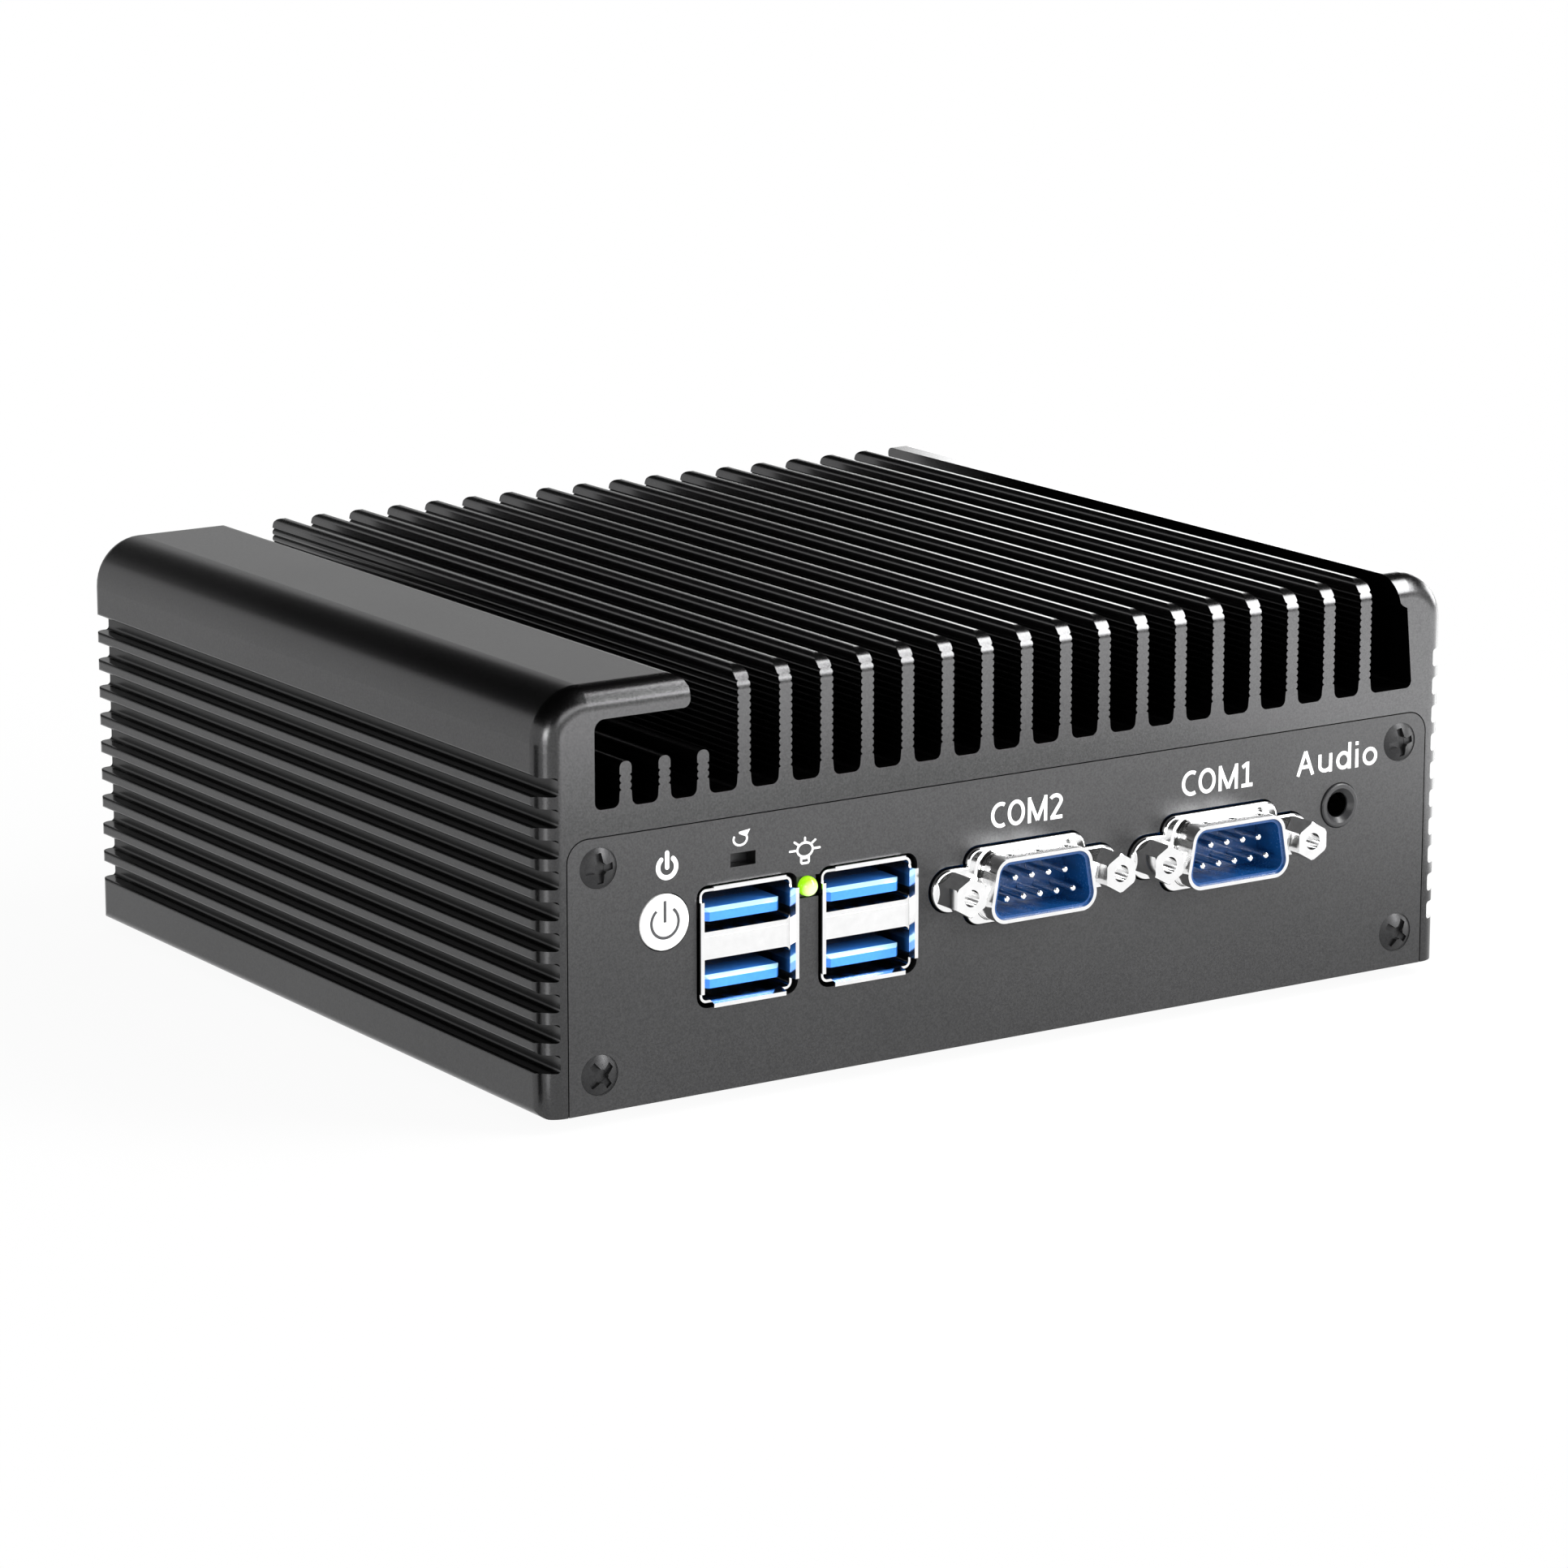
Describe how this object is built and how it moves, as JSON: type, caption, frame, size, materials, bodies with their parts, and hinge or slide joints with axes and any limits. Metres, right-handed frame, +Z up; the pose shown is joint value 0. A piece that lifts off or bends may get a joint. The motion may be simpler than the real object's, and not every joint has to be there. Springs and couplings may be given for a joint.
{
  "type": "fanless mini computer",
  "caption": "Fanless desktop mini computer in a finned extruded aluminium case, with front USB, serial and audio sockets, a power button and rear network and display sockets.",
  "frame": {"origin": "under the middle of the case, on the surface that the feet rest on", "axes": "+Z up, -Y towards the front panel with the power button, +X to the right seen from the front"},
  "size_m": [0.15, 0.1382, 0.059],
  "materials": {
    "anodised_housing": "bead-blasted, dark grey anodised",
    "anodised_panel": "fine-grained, dark grey anodised",
    "black_screw": "black oxide",
    "black_rubber": "matte",
    "white_plastic": "satin",
    "spring_steel": "drawn wire",
    "black_plastic": "moulded",
    "green_lens": "diffused lens",
    "bright_nickel": "nickel plated",
    "blue_plastic": "moulded",
    "navy_plastic": "moulded",
    "gold_contact": "gold plated",
    "lamp_window": "translucent",
    "green_board": "solder mask",
    "brass_pillar": "turned",
    "chip_package": "laminate with a polished die",
    "grey_pad": "soft pad",
    "copper_block": "milled copper",
    "cell_steel": "pressed steel",
    "grey_ferrite": "pressed powder"
  },
  "bodies": {
    "case": {"antenna_hole_plugs": "black_rubber", "audio_sleeve": "bright_nickel", "audio_socket": "black_plastic", "board_screws": "black_screw", "board_standoffs": "brass_pillar", "bottom_cover": "anodised_panel", "bottom_cover_screws": "black_screw", "card_posts": "brass_pillar", "card_sockets": "black_plastic", "cell_holder": "black_plastic", "coin_cell": "cell_steel", "com1_insulator": "navy_plastic", "com1_pins": "bright_nickel", "com1_shell": "bright_nickel", "com2_insulator": "navy_plastic", "com2_pins": "bright_nickel", "com2_shell": "bright_nickel", "com_jack_screws": "bright_nickel", "display_contacts": "gold_contact", "display_insulator": "black_plastic", "display_shell": "bright_nickel", "drive_card": "green_board", "feet": "black_rubber", "front_panel": "anodised_panel", "front_panel_screws": "black_screw", "heat_spreader": "copper_block", "housing": "anodised_housing", "indicator_lamp": "green_lens", "lamp_holder": "black_plastic", "mainboard": "green_board", "memory_module": "green_board", "memory_socket": "black_plastic", "network_contacts": "gold_contact", "network_inserts": "black_plastic", "network_lamps": "lamp_window", "network_shells": "bright_nickel", "power_button_spring": "spring_steel", "power_coils": "grey_ferrite", "power_inlet": "black_plastic", "power_inlet_pin": "bright_nickel", "power_switch": "black_plastic", "processor": "chip_package", "radio_card": "green_board", "rear_panel": "anodised_panel", "rear_panel_screws": "black_screw", "rear_usb_contacts": "gold_contact", "rear_usb_shell": "bright_nickel", "rear_usb_tongues": "black_plastic", "reset_switch": "black_plastic", "thermal_pad": "grey_pad", "usb_contacts": "gold_contact", "usb_shell_left": "bright_nickel", "usb_shell_right": "bright_nickel", "usb_tongues_left": "blue_plastic", "usb_tongues_right": "blue_plastic", "video_insulator": "blue_plastic", "video_jack_screws": "bright_nickel", "video_shell": "bright_nickel"},
    "power_key": {"power_button": "white_plastic"},
    "reset_key": {"reset_button": "black_plastic"}
  },
  "joints": [
    {"name": "power_press", "type": "slide", "parent": "case", "child": "power_key", "axis": [0, 1, 0], "range_m": [0, 0.0008], "stiffness_N_per_m": 400, "springref_m": -0.0006, "deforming": ["power_button_spring"]},
    {"name": "reset_press", "type": "slide", "parent": "case", "child": "reset_key", "axis": [0, 1, 0], "range_m": [0, 0.0004], "stiffness_N_per_m": 500, "springref_m": -0.0003}
  ]
}
